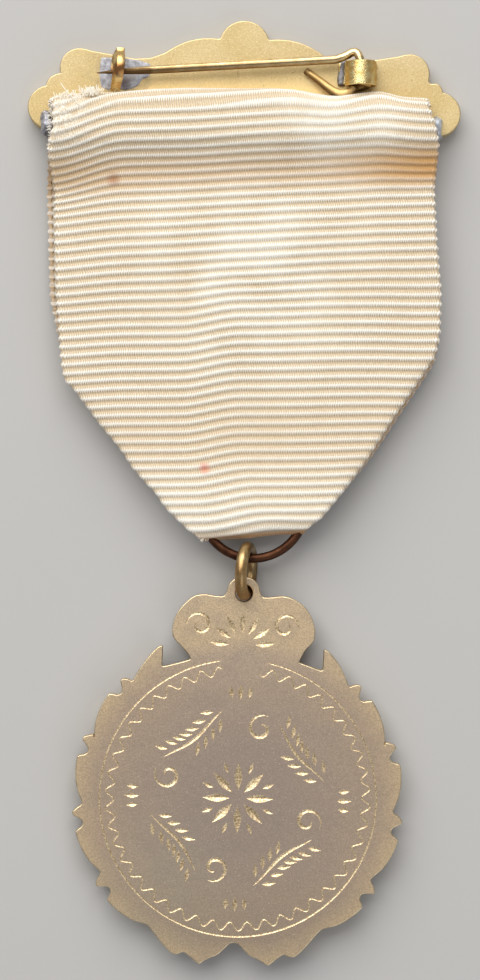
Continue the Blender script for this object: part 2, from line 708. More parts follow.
# %% Needle, coil and tail
TIP, HEEL = Vector((-14.3, 41.0, HINGE_Z)), Vector((9.0, 42.3, HINGE_Z))
COIL_R, COIL_TOP, COIL_RUN, COIL_STEPS = 0.73, 41.85, 2.4, 44
COIL_WIRE_R, TAIL_FLAT = 0.36, 0.32
needle = [TIP + (HEEL - TIP) * t for t in (0, 0.02, 0.05, 0.1, 0.2, 0.305, 0.45, 0.6, 0.8, 0.93)]
taper = [0.05, 0.10, 0.17, 0.28, 0.39, 0.42]
hump = smooth_path([HEEL, (9.95, 42.64, 3.5), (10.62, 43.0, 3.52), (11.0, 42.98, 3.6),
                    (11.25, 42.65, 3.8), (11.38, 42.2, 4.05)], 4)
coil = []
for i in range(COIL_STEPS + 1):
    angle = math.pi / 2 - math.tau * i / 16
    coil.append(Vector((HINGE_X + COIL_R * math.cos(angle), COIL_TOP - COIL_RUN * i / COIL_STEPS,
                        HINGE_Z + COIL_R * math.sin(angle))))
tail = smooth_path([(10.62, 39.28, 3.36), (10.2, 39.08, 3.24), (9.4, 39.0, 3.08),
                    (8.6, 39.4, 2.92), (7.4, 40.4, 2.66), (6.1, 41.4, 2.44)], 5)
pin_path = needle + hump + coil + tail
pin_sizes = []
for i in range(len(pin_path)):
    r = taper[min(i, len(taper) - 1)] if i < len(needle) + len(hump) else COIL_WIRE_R
    along_tail = max(0.0, (i - len(pin_path) + len(tail)) / len(tail))
    flat = TAIL_FLAT * math.sin(math.pi * min(along_tail * 1.25, 1.0))
    pin_sizes.append((r * (1 + flat), r * (1 - 0.8 * flat)))
bm = bmesh.new()
draw(bm, pin_path, pin_sizes)
finish_piece(bm, "pin_wire", [wire_brass], body="pin", stands_for=["brooch_pin"])

# %% [markdown]
# ## Brown wire and brass wire
# The half-moon ring hardly gets handled, so its brass has gone a dark, reddish brown. The jump
# ring rubs on it and on the ear, and shines along the middle.

# %% Ring finishes
moon_brown = worn_brass("tarnished_wire", (0.115, 0.048, 0.025), (0.05, 0.022, 0.013), 0.40, 1.0)
ring_brass = worn_brass("ring_wire", (0.66, 0.51, 0.26), (0.36, 0.22, 0.085), 0.24, 1.1, 0.02)
_, along, height = ring_brass.in_mm()
lower_half = 1 - (along - height * 0.35).ramp(-10.2, -7.4)
ring_brass.coat(lower_half * 0.6, (0.26, 0.125, 0.04))
ring_brass.coat((1 - height.ramp(1.0, 3.6)) * 0.75, TARNISH)

# %% [markdown]
# ## The rings
# The half-moon ring is a closed path: a straight bar in the ribbon's fold and an arc below it.
# The jump ring is a round section spun nearly all the way, which leaves the fine cut that every
# jump ring has, here on the hidden side. It leans a little, as it does in the photograph.

# %% Half-moon ring
MOON_AT, MOON_TURN, MOON_HALF, MOON_DROP = (1.03, -2.9, 2.6), 3.5, 4.9, 3.55
MOON_WIRE_R = 0.445
arc_r = (MOON_HALF ** 2 + MOON_DROP ** 2) / (2 * MOON_DROP)
arc_up = arc_r - MOON_DROP
swing = math.asin(MOON_HALF / arc_r)
moon_path = [(MOON_HALF * t, 0, 0) for t in (-0.96, -0.5, 0, 0.5, 0.96)]
for i in range(1, 32):
    angle = -math.pi / 2 + swing * (1 - i / 16)
    moon_path.append((arc_r * math.cos(angle), arc_up + arc_r * math.sin(angle), 0))
bm = bmesh.new()
draw(bm, moon_path, [(MOON_WIRE_R, MOON_WIRE_R)], closed=True)
lie(bm, MOON_AT, MOON_TURN)
finish_piece(bm, "half_moon_ring", [moon_brown], stands_for=["ribbon_ring"])

# %% Jump ring
JUMP_D, JUMP_WIRE = 5.80, 1.17
JUMP_LEAN, JUMP_TURN, JUMP_SPIN = 13.0, 4, 358.6
bm = bmesh.new()
start = bmesh.ops.create_circle(bm, segments=20, radius=JUMP_WIRE / 2,
                                matrix=Matrix.Translation(((JUMP_D - JUMP_WIRE) / 2, 0, 0))
                                @ Matrix.Rotation(math.pi / 2, 4, "X"))["verts"]
bmesh.ops.rotate(bm, verts=bm.verts, cent=(0, 0, 0), matrix=Matrix.Rotation(0.6, 3, "Z"))
section = list(start) + list(bm.edges)
ends = bmesh.ops.spin(bm, geom=section, cent=(0, 0, 0), axis=(0, 0, 1), dvec=(0, 0, 0),
                      angle=math.radians(JUMP_SPIN), steps=72, use_merge=False)["geom_last"]
for end in (section, ends):
    bmesh.ops.contextual_create(bm, geom=only(BMEdge, end))
upright = Matrix.Rotation(math.pi / 2, 3, "Y")
lean = Matrix.Rotation(math.radians(-JUMP_LEAN), 3, "Y")
turned = Matrix.Rotation(math.radians(-JUMP_TURN), 3, "Z")
bmesh.ops.rotate(bm, verts=bm.verts, cent=(0, 0, 0), matrix=turned @ lean @ upright)
bmesh.ops.translate(bm, verts=bm.verts, vec=(0.27, -7.7, JUMP_D / 2 + 0.06))
finish_piece(bm, "jump_ring", [ring_brass], stands_for=["jump_ring"])

# %% [markdown]
# ## Grosgrain
# Grosgrain has thick filling cords across the ribbon and fine warp threads that climb over each
# cord. The cords are real geometry below; the threads are a stripe pattern in the ribbon's own
# UV map, whose U runs across and V along the cloth, both in metres. Dirt settles between the
# cords, so the pattern also darkens them. Masks in the plan do the rest: places that wear has
# bleached, the torn corner, the brown hollow under the roll, the hem and two small stains.

# %% Ribbon finish
RIB = 0.876
THREAD = 0.22
cloth = Finish("cream_grosgrain", Sheen_Weight=0.25, Sheen_Roughness=0.5, Specular_IOR_Level=0.3)
woven = cloth.node("ShaderNodeUVMap", {"uv_map": "woven"}, {})
u, v, _ = cloth.in_mm(woven)
turn = math.tau / RIB
rib_wave = (v * turn + math.pi / 2).sine() * 0.5 + 0.5
low_side = (v * turn).sine() * -0.5 + 0.5
wobble = cloth.grain(1.6, 2.0, woven) * 0.35
lean_over = (v * turn).sine() * -0.055
thread_wave = ((u + wobble + lean_over) * (math.tau / THREAD)).sine() * 0.5 + 0.5
across, along, _ = cloth.in_mm()
fuzz = cloth.grain(0.16, 3.0)
worn_pale = (cloth.spot(1.0, 22.0, 15.0) + cloth.spot(9.5, 36.6, 8.5) * 1.4).clamped()
worn_pale = worn_pale * cloth.grain(5.0, 2.0).ramp(0.3, 0.6) + (1 - along.ramp(-3, 4)) * 0.7
torn = cloth.spot(-17.6, 36.8, 3.6) * cloth.grain(0.9, 2.0).ramp(0.34, 0.56)
in_hollow = along - across * 0.025
hollow = in_hollow.ramp(29.1, 30.7) * (1 - in_hollow.ramp(32.1, 33.9))
right_side = across.ramp(7, 18)
left_side = 1 - across.ramp(-19, -12)
lower_dust = along.ramp(0.5, 3.0) * (1 - along.ramp(6.0, 10.0))
hem = 1 - (along - across * 0.068).ramp(-4.25, -3.82)
under_hem = hem * (1.1 - thread_wave * 0.4) * (0.8 + across.ramp(-3, 3) * 0.2)
turned = cloth.node("ShaderNodeAttribute", {"attribute_name": "turned"}, {}, 2)
deep = cloth.blend(fuzz.ramp(0.3, 0.7) * 0.5 + thread_wave * 0.5,
                   (0.80, 0.67, 0.48), (0.50, 0.37, 0.23))
deep = cloth.blend(worn_pale * 0.35, deep, (0.95, 0.88, 0.74))
pale = cloth.blend(thread_wave * 0.42 + fuzz * 0.15, (1.0, 0.985, 0.92), (0.76, 0.64, 0.46))
ridge = rib_wave + (0.5 - thread_wave) * (0.36 + low_side * 0.22) + worn_pale * 0.28
tousled = cloth.blend(cloth.grain(0.22, 3.0).ramp(0.36, 0.62),
                      (0.62, 0.50, 0.34), (1.0, 0.97, 0.88))
cloth.ground(ridge.ramp(0.55, 0.82), deep, pale)
cloth.coat(torn * 0.8, tousled)
cloth.coat(cloth.grain(7.0, 3.0).ramp(0.46, 0.72) * 0.22, (0.66, 0.52, 0.34))
cloth.coat(hollow * (0.28 + right_side * 0.58), (0.60, 0.315, 0.09))
cloth.coat(hollow * left_side * 0.5, (0.34, 0.235, 0.115))
cloth.coat(lower_dust * 0.16, (0.66, 0.50, 0.32))
cloth.coat((under_hem + turned.ramp(0.3, 0.7) * 0.45).clamped(), (0.48, 0.24, 0.08))
for x, y, reach, tint in ((-12.7, 30.6, 0.9, (0.42, 0.16, 0.07)),
                          (-3.8, 2.4, 0.72, (0.80, 0.16, 0.10))):
    cloth.coat(cloth.spot(x, y, reach) * (0.85 - thread_wave * 0.5), tint)
cloth.feed("Roughness", 0.62 + fuzz * 0.25)
cloth.bump((1 - thread_wave) * rib_wave.ramp(0.0, 0.5) + fuzz * 0.35, 0.05)
print("rib pitch", RIB, "mm, thread pitch", THREAD, "mm")

# %% [markdown]
# ## The ribbon's run
# Seen from the side the ribbon is one long loop. It starts behind the bar, runs down on the
# hidden side, turns round the half-moon ring, comes back up on the side that we see, goes over
# the rod and tucks in behind its own start. The run is a list of points; a table of lengths
# along it then gives the place and the outward direction for any distance.

# %% Side view of the loop
CLOTH_HALF = 0.26
LOW_Y, LOW_Z, LOW_R = -3.15, 2.6, 1.24
TOP_Y, TOP_Z, TOP_R = 37.2, 3.6, 1.29
RUN_STEPS = 8
# In each row: the place along the jewel, the height of the loop's middle, half its thickness.
loop = [(TOP_Y, TOP_Z, 1.55), (34.9, 3.62, 1.55), (33.6, 3.02, 1.50), (32.0, 2.30, 1.46),
        (30.4, 2.0, 1.44), (28.0, 2.02, 1.45), (24.0, 2.16, 1.46), (16.0, 2.15, 1.45),
        (8.0, 2.17, 1.45), (3.0, 2.3, 1.47), (-1.0, 2.56, 1.5), (LOW_Y, LOW_Z, 1.5)]
far_side = [(36.5, 2.31)] + [(y, middle - half + CLOTH_HALF) for y, middle, half in loop[1:]]
near_side = [(y, middle + half - CLOTH_HALF) for y, middle, half in reversed(loop)]
low_turn = [(LOW_Y - LOW_R * math.cos(a), LOW_Z + LOW_R * math.sin(a))
            for a in (-0.9, -0.3, 0.3, 0.9)]
top_turn = [(TOP_Y + TOP_R * math.cos(a), TOP_Z + TOP_R * math.sin(a))
            for a in (1.0, 0.45, -0.1, -0.65, -1.2)]
tuck = [(37.0, 2.5), (36.2, 2.84), (35.2, 2.88), (34.2, 2.8)]
side_view = far_side + low_turn + near_side + top_turn + tuck
run = smooth_path([(0.0, y, z) for y, z in side_view], RUN_STEPS)
lengths = [0.0]
for a, b in zip(run, run[1:]):
    lengths.append(lengths[-1] + (b - a).length)
LOW_TURN_AT = lengths[(len(far_side) + 2) * RUN_STEPS - RUN_STEPS // 2]
print("ribbon length", round(lengths[-1], 1), "mm, lower turn at", round(LOW_TURN_AT, 1))


def along_run(distance):
    """The point at a distance along the loop, and the direction out of the cloth there."""
    distance = max(0.0, min(lengths[-1] - 1e-6, distance))
    low, high = 0, len(lengths) - 1
    while high - low > 1:
        middle = (low + high) // 2
        low, high = (middle, high) if lengths[middle] <= distance else (low, middle)
    share = (distance - lengths[low]) / (lengths[low + 1] - lengths[low])
    point = run[low].lerp(run[low + 1], share)
    way = (run[min(low + 2, len(run) - 1)] - run[max(low - 1, 0)]).normalized()
    return point, Vector((0.0, -way.z, way.y))


# %% [markdown]
# ## The ribbon's plan
# From above the ribbon keeps its full width down to about two thirds, and then both sides run in
# to a blunt point. Nothing is cut there: the corners are folded in between the two layers. So
# each row of the cloth keeps its full width, and what lies beyond the edge line goes round a
# tight fold and back on the inside, mirrored in the fold as folded paper is.

# %% Edges and folds
LEFT_EDGE = [(-5, -3.2), (-4.65, -3.4), (-3.68, -4.85), (-2.5, -6.05), (-1.1, -7.45),
             (0.25, -8.3), (1.63, -9.55), (3.0, -10.7), (4.4, -11.55), (5.75, -12.6),
             (7.1, -13.7), (8.5, -14.7), (9.86, -15.65), (10.9, -16.4), (11.6, -17.1),
             (12.3, -17.45), (19, -18.8), (29.1, -19.1), (35.8, -18.95), (36.8, -18.8),
             (38, -18.45), (40, -18.55)]
RIGHT_EDGE = [(-5, 5.3), (-4.4, 5.75), (-3.1, 7.5), (-0.3, 9.75), (2.6, 11.85), (7.1, 14.75),
              (12.8, 18.6), (15, 19.05), (19, 19.15), (23.6, 18.75), (29.1, 18.5),
              (33.5, 18.85), (35.5, 18.5), (37, 17.95), (40, 17.85)]
TOP_EDGE = [(-19, 38.6), (-17, 38.9), (-14, 39.05), (-8, 39.3), (-2, 39.5), (3, 39.5),
            (5, 39.35), (7, 38.95), (8.7, 38.72), (10.5, 38.92), (12.3, 39.2), (13.6, 39.2),
            (15.5, 38.6), (19, 38.3)]
TOP_LEVEL = 38.75
FULL_HALF = 19.2
FOLD_R = 0.26
SELVEDGE = 0.42
VISIBLE, FOLDED = 0.70, 0.86


def read(table, at):
    """Reads a list of (place, value) pairs, evenly between its rows."""
    for (a, va), (b, vb) in zip(table, table[1:]):
        if at <= b:
            return va + (vb - va) * max(0.0, (at - a) / (b - a))
    return table[-1][1]


def smooth(t):
    """0 up to t = 0, 1 from t = 1, and a soft step between them."""
    t = max(0.0, min(1.0, t))
    return t * t * (3 - 2 * t)


def bell(x, middle, width):
    return math.exp(-((x - middle) / width) ** 2)


FIRST_RIDGE = (LOW_TURN_AT + 0.12) % RIB


def rib_height(distance):
    """The cord's profile: round on top, with a narrow valley."""
    return 0.19 * (0.5 + 0.5 * math.cos(math.tau * (distance - FIRST_RIDGE) / RIB)) ** 1.5


def drape(column, distance, face):
    """Carries a point of the flat cloth to its place. column runs from -1 to 1, and face is 1
    or -1. Returns the place, how far across the flat cloth it was, and how far it is turned."""
    near = distance > LOW_TURN_AT
    y = along_run(distance)[0].y
    left, right = read(LEFT_EDGE, y), read(RIGHT_EDGE, y)
    if near:
        left += 0.75 * smooth((y - 12) / 8) * (1 - 0.9 * smooth((y - 31) / 5))
    middle, half = (left + right) / 2, (right - left) / 2
    side = 1 if column > 0 else -1
    across = abs(column)
    # What lies beyond the edge line: first the part on the fold, then the part that runs back.
    spare = max(FULL_HALF - half, 0.0) * smooth((14.5 - y) / 3) + SELVEDGE
    slope = smooth((14.0 - y) / 2.5)
    lean_in, lean_up = 1 - 0.22 * slope, 0.62 * slope
    round_the_fold = min(0.53 * spare, math.pi * FOLD_R / lean_in)
    excess = round_the_fold * max(0.0, min((across - VISIBLE) / (FOLDED - VISIBLE), 1.0))
    excess += (spare - round_the_fold) * max(0.0, across - FOLDED) / (1 - FOLDED)
    x = middle + side * (half - FOLD_R) * min(across / VISIBLE, 1.0)
    # The filling cords run a little uphill to the right and droop at both selvedges. Lower down
    # they climb in one step and lie nearly level on both sides of it.
    roll = smooth((y - 27) / 7) if near else 0.0
    low = 1 - smooth((y + 4.5) / 11)
    stepped = smooth((24 - y) / 8)
    step = 0.75 * (smooth((x + 3.2 - 2.5 * low) / 6 + 0.5) - 0.5)
    rise = 0.055 * x * (1 - stepped) + ((0.018 - 0.06 * low) * x + step) * stepped
    dip = 0.34 * smooth((y - 33) / 4) * bell(x, 8.7, 2.6)
    droop_left = (0.25 + 1.25 * roll) * smooth((-x - 11.5) / 7.5)
    droop_right = (0.15 + 0.45 * roll) * smooth((x - 12.5) / 6)
    ripple = 0.16 * noise.noise(Vector((x * 0.11, distance * 0.07, 3.0)))
    slant = (rise - droop_left - droop_right - dip + ripple) * (1 if near else 0.2)
    slant *= smooth(abs(distance - LOW_TURN_AT) / 3 + 0.35)
    through, tall = excess * lean_in, excess * lean_up
    bend = min(through / FOLD_R, math.pi)
    beyond = max(through - math.pi * FOLD_R, 0.0)
    point, out = along_run(distance + slant + (tall if near else -tall))
    worn_flat = 0.5 * smooth(1.3 - math.hypot(x - 10, point.y - 36.5) / 7) if near else 0.0
    cord = rib_height(distance) * (1 - 0.55 * slope * min(bend, 1.0)) * (1 - worn_flat)
    lift = face * (0.12 + cord)
    # A soft unevenness, the wavy top of the roll over the rod, and the slanted lower end.
    sag = 0.22 * noise.noise(Vector((x * 0.16, distance * 0.10, 8.0 * near))) * (bend < 3)
    crest = max(0.0, out.y) * smooth((point.z - 2.4) / 0.8)
    level = lift * math.cos(bend) - FOLD_R * (1 - math.cos(bend)) + sag
    push = (FOLD_R + lift) * math.sin(bend) - beyond
    spot = point + out * level
    spot.y += 0.068 * (x + 2.2) * (1 - smooth((point.y + 4.5) / 11))
    spot.y += 0.24 * bell(x, 3.0, 2.2) * (1 - smooth((point.y + 4.5) / 3))
    spot.y += crest * (read(TOP_EDGE, x) - TOP_LEVEL) - push * lean_up * 0.97
    spot.x = x + side * (push * lean_in + tall * lean_up)
    return spot, x + side * excess, bend / math.pi


print("a corner of the cloth lies at", [round(c, 1) for c in drape(1.0, LOW_TURN_AT + 2, 1)[0]])

# %% [markdown]
# ## Weaving and folding
# The cloth is woven flat: a grid with six rows to a rib, given its thickness by `solidify`.
# Only then is every vertex carried through the fold. The UV map keeps where the vertex lay in
# the flat cloth, which is what the thread pattern needs.

# %% Ribbon mesh
ROWS_PER_RIB = 6
COLUMNS = 60
ribs = int(lengths[-1] / RIB)
bm = bmesh.new()
bmesh.ops.create_grid(bm, x_segments=COLUMNS, y_segments=ribs * ROWS_PER_RIB, size=1.0)
bmesh.ops.solidify(bm, geom=bm.faces[:] + bm.edges[:] + bm.verts[:], thickness=0.01)
top_level = max(corner.co.z for corner in bm.verts)
flat_place = {}
turned = bm.verts.layers.float.new("turned")
bm.verts.index_update()
for corner in bm.verts:
    column, row = corner.co.x, (corner.co.y + 1) / 2 * ribs * RIB
    face = 1 if corner.co.z > top_level - 0.005 else -1
    corner.co, across, corner[turned] = drape(column, row, face)
    flat_place[corner.index] = ((across + 20) * MM, (row - FIRST_RIDGE) * MM)
uv = bm.loops.layers.uv.new("woven")
for face in bm.faces:
    for loop in face.loops:
        loop[uv].uv = flat_place[loop.vert.index]
ribbon = finish_piece(bm, "cream_ribbon", [cloth], stands_for=["ribbon"], sharp=80)

# %% [markdown]
# ## Loose threads
# Where the ribbon's end is tucked in, the cloth has frayed at the top left. Each thread is a
# hair-thin wire that bows a little and gets thinner to its end. They grow in patches: a thick
# tuft by the hook, a thin fringe along the torn top and the selvedge, and a few at the low
# corner. The random numbers are seeded, so that every run gives the same threads.

# %% Frayed threads
random.seed(11)
THREAD_R = 0.032


def strand(bm, root, heading, long, curl):
    """One loose thread from root, along a heading in degrees. It bows by curl of its length."""
    heading = math.radians(heading)
    way = Vector((math.cos(heading), math.sin(heading), random.uniform(-0.25, 0.35)))
    bow = Vector((-way.y, way.x, 0.6)) * random.uniform(-curl, curl) * long
    path = smooth_path([root, root + way * long * 0.55 + bow, root + way * long], 3)
    sizes = [(THREAD_R * thin, THREAD_R * thin) for thin in (1, 1, 1, 1, 1, 0.75, 0.4)]
    draw(bm, path, sizes, ROUND[::3])


# In each row: how many, the ranges of x, y, height, heading and length, and the curl.
patches = [
    (170, (-16.1, -13.7), (38.5, 39.15), (4.1, 4.9), (50, 130), (0.2, 0.62), 0.12),
    (80, (-18.6, -15.8), (38.1, 38.8), (4.3, 4.9), (40, 130), (0.2, 0.5), 0.3),
    (70, (-18.95, -18.4), (33.4, 38.2), (3.9, 4.6), (130, 235), (0.18, 0.42), 0.3),
    (16, (-4.3, -3.5), (-4.5, -4.2), (2.6, 3.6), (200, 300), (0.25, 0.55), 0.3)]
bm = bmesh.new()
for count, xs, ys, zs, headings, longs, curl in patches:
    for _ in range(count):
        root = Vector([random.triangular(*xs), random.uniform(*ys), random.uniform(*zs)])
        strand(bm, root, random.uniform(*headings), random.uniform(*longs), curl)
hair = [(-17.8, 39.9, 4.3), (-17.4, 39.3, 4.7), (-16.7, 38.5, 5.1), (-16.0, 37.7, 5.2)]
draw(bm, smooth_path(hair, 5), [(0.035, 0.035)], ROUND[::2])
frayed = Finish("loose_thread", Sheen_Weight=0.3)
frayed.ground(frayed.grain(0.6), (1.0, 0.975, 0.90), (0.93, 0.84, 0.68))
finish_piece(bm, "frayed_threads", [frayed])

# %% [markdown]
# ## Dulled gilding
# The pendant's back was gilt once. What the photograph shows is a matt, grey-brown skin with a
# very fine grain, warmer towards the rim, with worn bright edges, a few specks and a greenish
# cloud low on the left. Several noises of different size, each mixed in weakly, give that.

# %% Pendant finishes
PEND_AT, PEND_TURN = (-0.56, -29.92, 0.0), -1.6
dull = Finish("dulled_gilding", Metallic=0.9)
_, along, _ = dull.in_mm()
from_middle = dull.far_from(*PEND_AT[:2])
rim_warmth = (from_middle + dull.grain(3.0, 3.0) * 4).ramp(7, 19)
rim_gold = (from_middle + dull.grain(1.2, 3.0) * 1.6).ramp(14.8, 16.6)
greenish = dull.spot(-7.5, -38.0, 8.0) * dull.grain(1.5, 3.0)
grit = dull.grain(0.11, 3.0)
dull.ground(rim_warmth, (0.395, 0.315, 0.26), (0.53, 0.40, 0.275))
dull.coat(along.ramp(-20, -9) * 0.7, (0.59, 0.48, 0.375))
dull.coat((1 - along.ramp(-46, -37)) * 0.75, (0.36, 0.28, 0.20))
dull.coat(rim_gold * 0.6, (0.72, 0.55, 0.32))
dull.coat(dull.grain(2.4, 4.0).ramp(0.45, 0.72) * 0.35, (0.37, 0.30, 0.25))
dull.coat(greenish * 0.5, (0.42, 0.40, 0.29))
dull.coat(grit.ramp(0.38, 0.62) * 0.5, (0.28, 0.22, 0.17))
dull.coat(dull.grain(0.17, 1.0).ramp(0.64, 0.74) * 0.4, (0.75, 0.66, 0.50))
dull.feed("Roughness", 0.48 + grit * 0.18)
dull.bump(grit + dull.grain(1.1, 2.0) * 1.5, 0.012)
edge_gold = worn_brass("worn_pendant_edge", (0.78, 0.64, 0.40), (0.52, 0.41, 0.26), 0.24, 0.9)
cut_gold = Finish("bright_cut_gold", Metallic=0.85)
burr = cut_gold.grain(0.16, 2.0)
cut_gold.ground(burr.ramp(0.42, 0.58), (0.92, 0.75, 0.48), (0.46, 0.33, 0.19))
cut_gold.feed("Roughness", 0.38 + burr * 0.15)
face_gold = worn_brass("face_gilding", (0.82, 0.62, 0.28), (0.60, 0.42, 0.18), 0.26, 1.6)
print("pendant finishes ready")

# %% [markdown]
# ## The pendant's outline
# The struck plate follows the leaves of a laurel branch on each side, a tied bow at the bottom,
# and a two-lobed crown with an ear for the jump ring at the top. Each leaf ends in a tip, a notch
# and one small tooth, four times on each side. Half of the line is set out corner by corner and
# mirrored. The crown then moves a hair to the right, and the whole is drawn as a soft spline, for
# a struck edge has no hard corners.

# %% Pendant outline
PLATE_BACK, PLATE_FACE, RELIEF = 2.9, 1.6, 1.6
LEAF_TIPS = (37, 12.6, -13.8, -40.1)


def polar(r, angle, middle=(0, 0)):
    """The point at a distance and an angle, in degrees, from a middle."""
    angle = math.radians(angle)
    return middle[0] + r * math.cos(angle), middle[1] + r * math.sin(angle)


crown_and_horn = [(0, 21.72), (0.85, 21.5), (1.42, 20.93), (1.66, 20.2), (1.95, 19.76),
                  (2.75, 19.75), (3.8, 19.88), (4.8, 19.68), (5.75, 19.02), (6.5, 18.1),
                  (6.95, 16.9), (6.98, 15.95), (6.72, 15.35), (6.1, 14.72), (5.55, 13.95),
                  (5.38, 13.6), (5.42, 13.44), (5.7, 13.33), (6.75, 12.99), (7.62, 12.74),
                  (7.84, 12.78), (7.88, 13.0), (7.88, 13.8), (7.9, 14.62), (8.0, 14.72),
                  (8.3, 14.6), (8.75, 14.2), (9.6, 13.1), (10.25, 11.95)]
leaf_end = [(9.6, 15.46), (8.7, 15.85), (7.6, 16.22), (6.4, 16.24), (5.4, 15.85), (4.4, 15.5),
            (3.1, 15.38), (1.9, 15.6), (0.9, 16.08), (0, 16.25), (-3.5, 16.17), (-7.5, 16.0),
            (-11.5, 15.72), (-15.5, 15.3)]
leaf_ends = [polar(r, tip + a) for tip in LEAF_TIPS for a, r in leaf_end]
bow = [(8.05, -13.2), (7.2, -14.25), (6.35, -15.15), (5.85, -15.45), (5.35, -15.38),
       (4.9, -15.25), (4.35, -15.6), (3.6, -16.22), (3.3, -16.32), (2.95, -16.1), (2.3, -15.72),
       (1.6, -15.42), (0.85, -14.72), (0.4, -14.3), (0, -14.2)]
right_half = crown_and_horn + leaf_ends + bow


def struck(x, y):
    """The crown and its two notches sit a hair to the right of the middle line."""
    crown = smooth((19.8 - y) / 0.8) * smooth((y - 11) / 3)
    notch = bell(y, 13.7, 0.8) * (abs(x) < 7)
    return x + 0.13 * crown + 0.2 * notch, y


whole = [struck(x, y) for x, y in right_half + [(-x, y) for x, y in right_half[-2:0:-1]]]
spline = smooth_path([(x, y, 0) for x, y in reversed([whole[-1]] + whole + whole[:2])], 5)
pendant_line = [(p.x, p.y) for p in spline[5:-10]]
ear_hole = disc(0.06, 20.1, 0.83)
hole_line = trace(ear_hole, (0.89, 20.1), 0.1)
print("pendant outline", len(pendant_line), "points, hole", len(hole_line))


def beside(line):
    """The distance to a closed line of close points, below zero on its left. A tree of the points
    finds the nearest one at once, so only two short pieces of the line are measured."""
    tree = kdtree.KDTree(len(line))
    for i, (x, y) in enumerate(line):
        tree.insert((x, y, 0), i)
    tree.balance()

    def field(x, y):
        near = tree.find((x, y, 0))[1]
        best = 1e9
        for i in (near - 1, near):
            (ax, ay), (bx, by) = line[i], line[(i + 1) % len(line)]
            away = off_segment(x, y, (ax, ay), (bx, by))
            if away < abs(best):
                best = -away if (bx - ax) * (y - ay) > (by - ay) * (x - ax) else away
        return best
    return field


outline_field = beside(pendant_line)


def pendant_field(x, y):
    return max(outline_field(x, y), -ear_hole(x, y))


# %% [markdown]
# ## Bright-cut engraving
# The back carries hand-cut ornament: a line and a wave round the border, a rosette, four leafy
# sprays that end in curls with small petals between them, and in the crown a fan of petals and
# two curls. They are plain patterns of the trade. A graver leaves pointed, V-shaped cuts.
# Each cut starts as a grid two faces wide: its middle row is pushed down, and its ends are
# merged to points. The plate's back is then filled round the rims of all the cuts, so they are
# real grooves in one closed surface. They take the third finish, clean gold.

# %% Engraving
bm = bmesh.new()
rims, cut_faces = [], []


def stroke(points, width, ends=0.2):
    """A V-shaped cut along points that swells in its middle and runs out to both ends."""
    last = len(points) - 1
    strip = bmesh.ops.create_grid(bm, x_segments=last, y_segments=2, size=1.0)["verts"]
    for corner in strip:
        i, lane = round((corner.co.x + 1) / 2 * last), round(corner.co.y)
        (x, y), (ax, ay), (bx, by) = points[i], points[max(i - 1, 0)], points[min(i + 1, last)]
        way = math.hypot(bx - ax, by - ay)
        swell = ends + (1 - ends) * math.sin(math.pi * i / last)
        half = width * swell / 2 if 0 < i < last else 0.0
        corner.co = (x - (by - ay) / way * half * lane, y + (bx - ax) / way * half * lane,
                     PLATE_BACK - (0.5 * half if lane == 0 else 0.0))
    bmesh.ops.remove_doubles(bm, verts=strip, dist=1e-4)
    faces = {face for corner in strip if corner.is_valid for face in corner.link_faces}
    cut_faces.extend(faces)
    rims.extend(edge for edge in {e for face in faces for e in face.edges}
                if len(edge.link_faces) == 1)


def petal(middle, angle, length, width):
    """One short pointed cut round its middle."""
    cut = [polar(length / 2 * t, angle, middle) for t in (-1, -0.6, -0.25, 0.1, 0.5, 1)]
    stroke(cut, width, 0.0)


BORDER_FROM, BORDER_SWEEP = 98, 344
WAVES, WAVE_STEPS = 44, 440
stroke([polar(13.55, a) for a in range(BORDER_FROM, BORDER_FROM + BORDER_SWEEP + 1, 3)], 0.19, 0.8)
wave = []
for t in range(WAVE_STEPS + 1):
    r = 12.55 + 0.42 * math.sin(WAVES * math.tau * t / WAVE_STEPS)
    wave.append(polar(r, BORDER_FROM + BORDER_SWEEP * t / WAVE_STEPS))
stroke(wave, 0.16, 0.9)
for angle in range(0, 360, 45):
    petal(polar(2.15, angle), angle, 2.7, 0.8)
    petal(polar(3.2, angle + 22.5), angle + 22.5, 1.2, 0.42)
for quarter in (45, 135, 225, 315):
    stem = [polar(8.75 - 1.6 * math.sin(math.pi * t / 24), quarter - 34 + 2.35 * t)
            for t in range(23)]
    stroke(stem, 0.34)
    middle = polar(7.2, quarter + 28)
    stroke([polar(1.4 - 0.066 * t, quarter + 12 + 25 * t, middle) for t in range(17)], 0.4)
    for k in range(2, 21, 3):
        (x, y), (bx, by) = stem[k], stem[k + 1]
        heading = math.degrees(math.atan2(by - y, bx - x))
        for side in (-1, 1):
            if side < 0 or k < 14:
                petal(polar(1.05, heading + side * 62, (x, y)), heading + side * 40, 1.4, 0.46)
    for k in (-1, 0, 1):
        angle = quarter + 45 + 5 * k
        petal(polar(10.4, angle), angle, 1.5 - 0.4 * abs(k), 0.5)
for k in range(-3, 4):
    petal(polar(2.3, 90 - k * 28, (0, 14.9)), 90 - k * 28, 2.0, 0.6)
for side in (-1, 1):
    stroke([polar(1.35 - 0.06 * t, 90 - side * (100 - 25 * t), (side * 4.2, 16.9))
            for t in range(17)], 0.4)
for face in cut_faces:
    face.material_index = 2
print("cuts:", len(cut_faces), "faces,", len(rims), "rim edges")

# %% Pendant plate, filled round the cuts
face_cap, back_cap = plate(bm, pendant_field, [pendant_line, hole_line], [
    (0.10, PLATE_FACE), (0.03, PLATE_FACE + 0.04), (0, PLATE_FACE + 0.12), (0, PLATE_BACK - 0.11),
    (0.02, PLATE_BACK - 0.04), (0.05, PLATE_BACK - 0.01), (0.09, PLATE_BACK)], rims)
